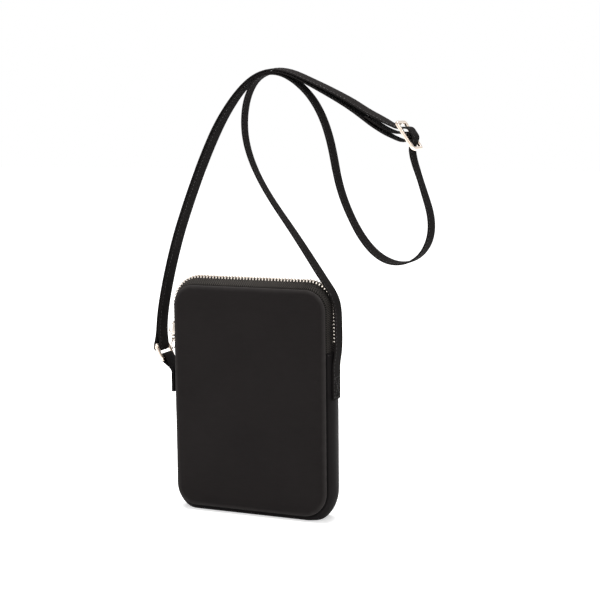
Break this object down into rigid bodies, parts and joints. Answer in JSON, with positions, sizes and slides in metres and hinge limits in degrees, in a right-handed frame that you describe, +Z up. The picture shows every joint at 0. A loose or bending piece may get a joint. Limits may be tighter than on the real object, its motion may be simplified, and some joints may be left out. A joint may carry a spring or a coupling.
{
  "type": "crossbody bag",
  "caption": "Small upright padded crossbody bag with a wrap-round metal zip, a rectangular ring on a side tab and a flat strap with a frame adjuster.",
  "frame": {"origin": "middle of the flat base that the bag stands on", "axes": "front panel faces -Y, +X to the right seen from the front, +Z up"},
  "size_m": [0.2346, 0.0308, 0.354],
  "materials": {
    "panel_cloth": "satin",
    "gusset_cloth": "satin",
    "padding": "matte",
    "lining": "matte",
    "webbing": "satin",
    "zip_tape": "matte twill",
    "thread": "satin",
    "zip_metal": "polished light gold",
    "hardware": "polished light gold"
  },
  "bodies": {
    "root": {"front_panel": "panel_cloth", "back_panel": "panel_cloth", "front_foam": "padding", "back_foam": "padding", "front_lining": "lining", "back_lining": "lining", "front_seam_binding": "lining", "back_seam_binding": "lining", "lower_gusset": "gusset_cloth", "gusset_lining": "lining", "zip_tape_front": "zip_tape", "zip_tape_back": "zip_tape", "zip_teeth_front": "zip_metal", "zip_teeth_back": "zip_metal", "zip_top_stops": "zip_metal", "zip_bottom_stop": "zip_metal", "left_tab": "gusset_cloth", "tab_stitches": "thread", "strap_long_run": "webbing", "strap_inner_run": "webbing", "strap_ring_fold": "webbing", "strap_end_stitches": "thread", "strap_fold_stitches": "thread"},
    "zip_slider": {"zip_slider": "zip_metal"},
    "pull_link": {"zip_pull_link": "zip_metal"},
    "pull_loop": {"zip_pull_loop": "zip_metal"},
    "left_ring": {"left_ring": "hardware"},
    "strap_adjuster": {"strap_adjuster": "hardware"}
  },
  "joints": [
    {"name": "zip_slide", "type": "slide", "parent": "root", "child": "zip_slider", "axis": [0, 0, 1], "range_m": [0, 0.013]},
    {"name": "pull_link_hinge", "type": "hinge", "parent": "zip_slider", "child": "pull_link", "pos_m": [-0.07365, 0, 0.14345], "axis": [0, 1, 0], "range_deg": [0, 20]},
    {"name": "pull_loop_hinge", "type": "hinge", "parent": "pull_link", "child": "pull_loop", "pos_m": [-0.07365, 0, 0.13745], "axis": [0, 1, 0], "range_deg": [0, 10]},
    {"name": "ring_hinge", "type": "hinge", "parent": "root", "child": "left_ring", "pos_m": [-0.0788, 0, 0.1213], "axis": [0, 1, 0], "range_deg": [-30, 12], "deforming": ["strap_ring_fold"]},
    {"name": "adjuster_hinge", "type": "hinge", "parent": "root", "child": "strap_adjuster", "pos_m": [0.12808, 0, 0.30139], "axis": [0, 1, 0], "range_deg": [-8, 8]}
  ]
}
